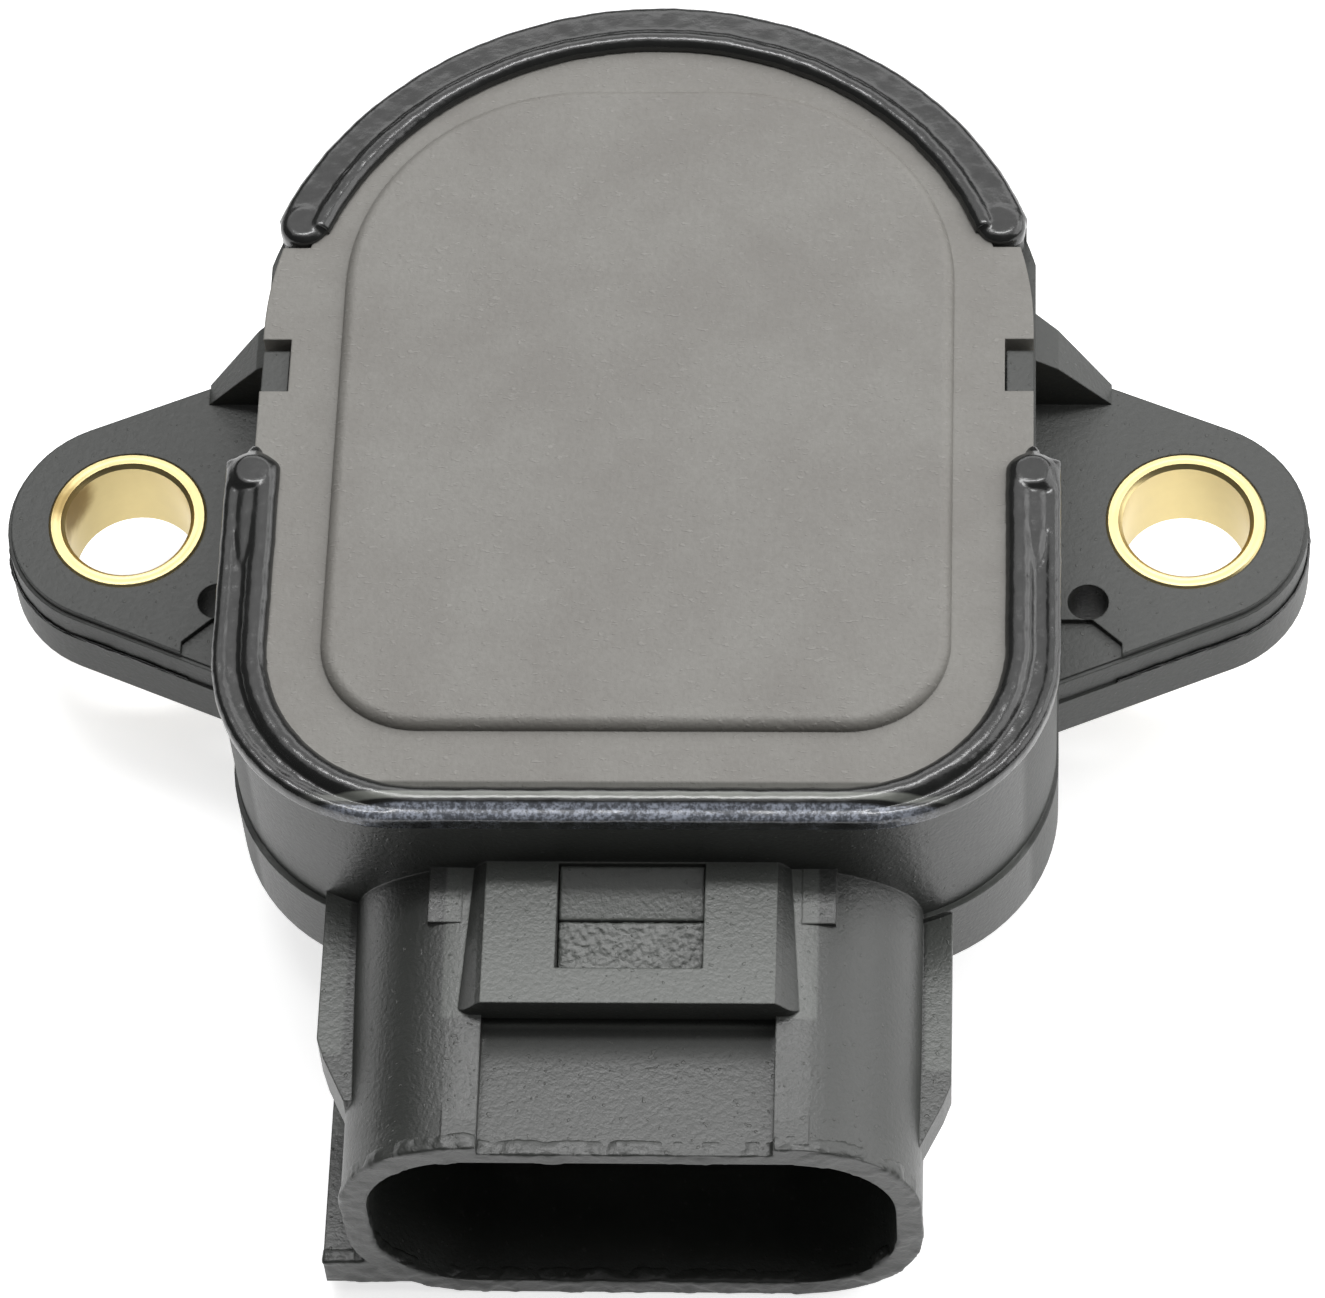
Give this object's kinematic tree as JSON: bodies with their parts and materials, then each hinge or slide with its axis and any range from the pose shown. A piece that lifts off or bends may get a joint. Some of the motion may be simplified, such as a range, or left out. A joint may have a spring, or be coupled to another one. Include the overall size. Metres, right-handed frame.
{
  "type": "throttle position sensor",
  "caption": "Rotary throttle position sensor: black casing with two brass-lined ears, grey cover, latching plug socket and a sprung rotor.",
  "frame": {"origin": "rotor axis at the mounting face, midway between the two screw holes", "axes": "+Z along the rotor axis towards the cover, +X to the right-hand ear, plug socket towards -Y"},
  "size_m": [0.063, 0.0595, 0.0205],
  "materials": {
    "black_plastic": "moulded glass-filled plastic, glossy where the rim was hot-formed",
    "grey_plastic": "fine-grained matte",
    "brass": "turned",
    "rotor_plastic": "moulded",
    "bearing_bronze": "sintered",
    "rubber": "smooth",
    "steel": "spring steel",
    "ceramic": "sintered ceramic",
    "carbon_film": "printed",
    "silver_film": "printed",
    "tinned_brass": "tin plated",
    "solder": "bright solder"
  },
  "bodies": {
    "casing": {"housing": "black_plastic", "cover": "grey_plastic", "cover_seal": "rubber", "left_bush": "brass", "right_bush": "brass", "rotor_bearing": "bearing_bronze", "rotor_seal": "rubber", "thrust_washer": "steel", "return_spring": "steel", "track_board": "ceramic", "resistor_track": "carbon_film", "collector_track": "silver_film", "idle_track": "silver_film", "supply_terminal": "tinned_brass", "signal_terminal": "tinned_brass", "idle_terminal": "tinned_brass", "ground_terminal": "tinned_brass", "solder_joints": "solder", "flange_seal": "rubber"},
    "rotor": {"rotor": "rotor_plastic", "wiper_plate": "steel"}
  },
  "joints": [
    {"name": "rotor_turn", "type": "hinge", "parent": "casing", "child": "rotor", "pos_m": [0, 0, 0], "axis": [0, 0, 1], "range_deg": [0, 100], "stiffness_Nm_per_rad": 0.012, "springref_deg": -91.67}
  ]
}
